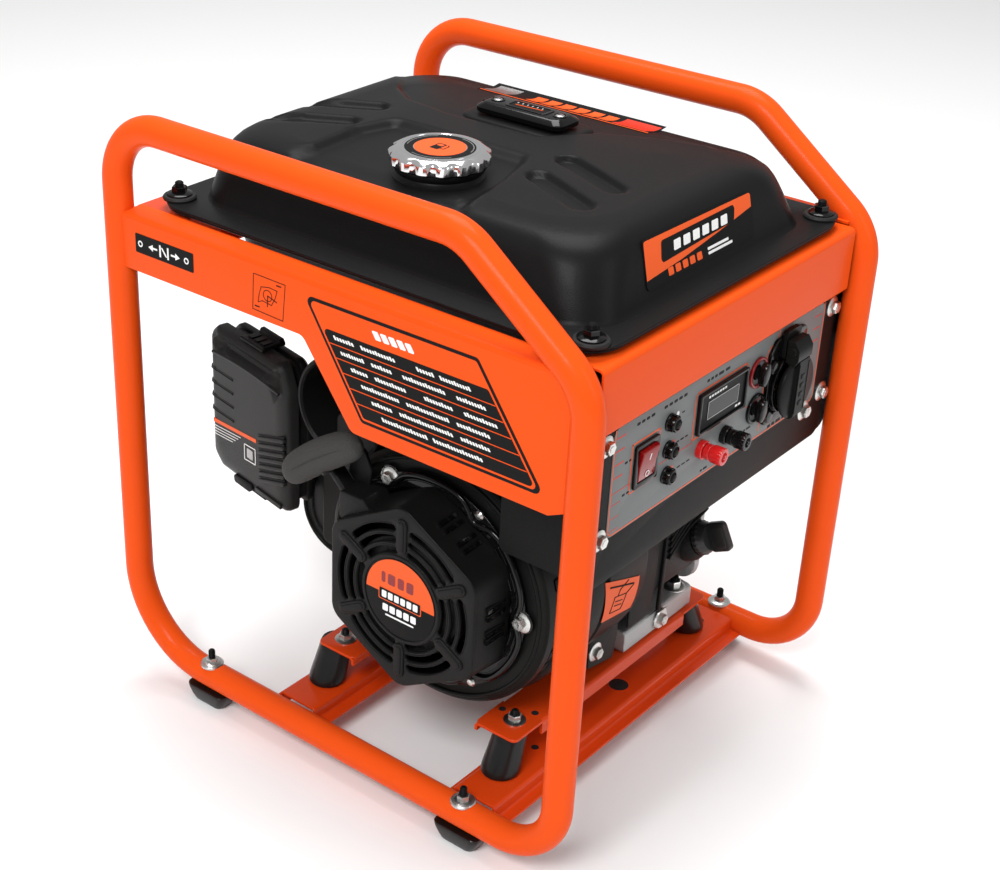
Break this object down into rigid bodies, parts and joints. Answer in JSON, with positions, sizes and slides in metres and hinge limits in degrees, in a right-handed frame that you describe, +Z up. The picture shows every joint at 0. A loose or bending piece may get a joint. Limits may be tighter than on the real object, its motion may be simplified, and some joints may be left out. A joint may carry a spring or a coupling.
{
  "type": "portable generator",
  "caption": "Open-frame portable inverter generator: bent tube frame, top fuel tank, recoil-start engine on rubber mounts and an end control panel.",
  "frame": {"origin": "on the ground under the middle of the frame", "axes": "+Z up, +X towards the control panel end along the two tube hoops, -Y towards the recoil starter"},
  "size_m": [0.436, 0.37, 0.475],
  "materials": {
    "orange_paint": "satin powder coat",
    "rubber": "matte",
    "tank_paint": "fine satin black",
    "polished_cap": "polished",
    "gloss_plastic": "gloss",
    "cast_aluminium": "as cast",
    "red_plastic": "gloss",
    "box_paint": "fine black powder coat",
    "panel_face": "satin grey face plate",
    "black_plastic": "fine grain",
    "steel": "machined",
    "copper_windings": "varnished copper",
    "foam": "open foam"
  },
  "bodies": {
    "frame": {"hoop_near": "orange_paint", "hoop_far": "orange_paint", "side_panel_near": "orange_paint", "side_panel_far": "orange_paint", "rail_front": "orange_paint", "rail_rear": "orange_paint", "cross_member_front": "orange_paint", "cross_member_rear": "orange_paint", "bearer_front": "orange_paint", "bearer_rear": "orange_paint", "foot_front_near": "rubber", "foot_front_far": "rubber", "foot_rear_near": "rubber", "foot_rear_far": "rubber", "rubber_mount_front_near": "rubber", "rubber_mount_front_far": "rubber", "rubber_mount_rear_near": "rubber", "rubber_mount_rear_far": "rubber", "tank_shell": "tank_paint", "tank_floor": "tank_paint", "fuel_gauge": "gloss_plastic", "fuel_valve": "cast_aluminium", "control_box": "box_paint", "control_panel": "panel_face", "inverter_module": "cast_aluminium", "switch_bezel": "black_plastic", "meter": "gloss_plastic", "socket_body": "black_plastic", "crankcase": "cast_aluminium", "crankcase_cover": "cast_aluminium", "cylinder_head": "cast_aluminium", "rocker_cover": "box_paint", "spark_plug": "rubber", "blower_housing": "box_paint", "stator": "copper_windings", "recoil_cover": "black_plastic", "carburetor": "cast_aluminium", "muffler": "steel", "air_filter_base": "black_plastic", "air_filter_element": "foam"},
    "cap_gasket": {"cap_gasket": "rubber"},
    "fuel_cap": {"fuel_cap": "polished_cap"},
    "fuel_valve_lever": {"fuel_valve_lever": "red_plastic"},
    "rocker": {"switch_rocker": "red_plastic"},
    "socket_lid": {"socket_lid": "black_plastic"},
    "breaker_ac": {"breaker_ac": "black_plastic"},
    "breaker_dc": {"breaker_dc": "black_plastic"},
    "dc_post_red": {"dc_post_red": "red_plastic"},
    "dc_post_black": {"dc_post_black": "gloss_plastic"},
    "crank": {"crankshaft": "steel", "rotor": "steel"},
    "camshaft": {"camshaft": "steel"},
    "piston": {"piston": "cast_aluminium"},
    "starter_grip": {"starter_grip": "rubber"},
    "recoil_pulley": {"recoil_pulley": "black_plastic"},
    "choke_lever": {"choke_lever": "black_plastic"},
    "oil_filler_cap": {"oil_filler_cap": "black_plastic"},
    "filter_cover": {"air_filter_cover": "black_plastic"},
    "filter_latch_top": {"filter_latch_top": "black_plastic"},
    "filter_latch_bottom": {"filter_latch_bottom": "black_plastic"}
  },
  "joints": [
    {"name": "cap_lift", "type": "slide", "parent": "frame", "child": "cap_gasket", "axis": [0, 0, 1], "range_m": [0, 0.06]},
    {"name": "cap_turn", "type": "hinge", "parent": "cap_gasket", "child": "fuel_cap", "pos_m": [0.004, -0.07, 0.457], "axis": [0, 0, 1], "range_deg": [0, 90]},
    {"name": "fuel_valve_turn", "type": "hinge", "parent": "frame", "child": "fuel_valve_lever", "pos_m": [-0.12, -0.116, 0.345], "axis": [0, -1, 0], "range_deg": [0, 90]},
    {"name": "switch_rock", "type": "hinge", "parent": "frame", "child": "rocker", "pos_m": [0.1975, -0.088, 0.304], "axis": [0, 1, 0], "range_deg": [0, 18]},
    {"name": "socket_lid_open", "type": "hinge", "parent": "frame", "child": "socket_lid", "pos_m": [0.205, 0.09, 0.3375], "axis": [0, -1, 0], "range_deg": [0, 90], "stiffness_Nm_per_rad": 0.02},
    {"name": "breaker_ac_press", "type": "slide", "parent": "frame", "child": "breaker_ac", "axis": [-1, 0, 0], "range_m": [0, 0.003], "stiffness_N_per_m": 600},
    {"name": "breaker_dc_press", "type": "slide", "parent": "frame", "child": "breaker_dc", "axis": [-1, 0, 0], "range_m": [0, 0.003], "stiffness_N_per_m": 600},
    {"name": "dc_post_red_turn", "type": "hinge", "parent": "frame", "child": "dc_post_red", "pos_m": [0.21, -0.019, 0.286], "axis": [1, 0, 0], "range_deg": [0, 720]},
    {"name": "dc_post_black_turn", "type": "hinge", "parent": "frame", "child": "dc_post_black", "pos_m": [0.21, 0.012, 0.285], "axis": [1, 0, 0], "range_deg": [0, 720]},
    {"name": "crank_turn", "type": "hinge", "parent": "frame", "child": "crank", "pos_m": [0.057, 0.055, 0.172], "axis": [0, 1, 0], "continuous": true},
    {"name": "cam_turn", "type": "hinge", "parent": "frame", "child": "camshaft", "pos_m": [0.057, 0.055, 0.124], "axis": [0, 1, 0], "continuous": true},
    {"name": "piston_stroke", "type": "slide", "parent": "frame", "child": "piston", "axis": [-0.9063, 0, 0.4226], "range_m": [-0.054, 0]},
    {"name": "starter_pull", "type": "slide", "parent": "frame", "child": "starter_grip", "axis": [-0.3008, -0.9324, 0.2005], "range_m": [0, 0.5]},
    {"name": "recoil_pulley_turn", "type": "hinge", "parent": "frame", "child": "recoil_pulley", "pos_m": [0.057, -0.15, 0.172], "axis": [0, 1, 0], "range_deg": [0, 720]},
    {"name": "choke_turn", "type": "hinge", "parent": "frame", "child": "choke_lever", "pos_m": [-0.119, -0.022, 0.255], "axis": [1, 0, 0], "range_deg": [0, 70]},
    {"name": "oil_cap_turn", "type": "hinge", "parent": "frame", "child": "oil_filler_cap", "pos_m": [0.14399, 0.101, 0.13838], "axis": [0.8988, 0, 0.4384], "range_deg": [0, 720]},
    {"name": "filter_cover_off", "type": "slide", "parent": "frame", "child": "filter_cover", "axis": [-0.2181, -0.9759, 0], "range_m": [0, 0.05]},
    {"name": "filter_latch_top_open", "type": "hinge", "parent": "filter_cover", "child": "filter_latch_top", "pos_m": [-0.14263, -0.1066, 0.2858], "axis": [0.9759, -0.2181, 0], "range_deg": [0, 80]},
    {"name": "filter_latch_bottom_open", "type": "hinge", "parent": "filter_cover", "child": "filter_latch_bottom", "pos_m": [-0.14263, -0.1066, 0.1582], "axis": [-0.9759, 0.2181, 0], "range_deg": [0, 80]}
  ],
  "couplings": [
    {"joint": "cam_turn", "follows": "crank_turn", "ratio": -0.5},
    {"joint": "recoil_pulley_turn", "follows": "starter_pull", "rad_per_m": 25}
  ]
}
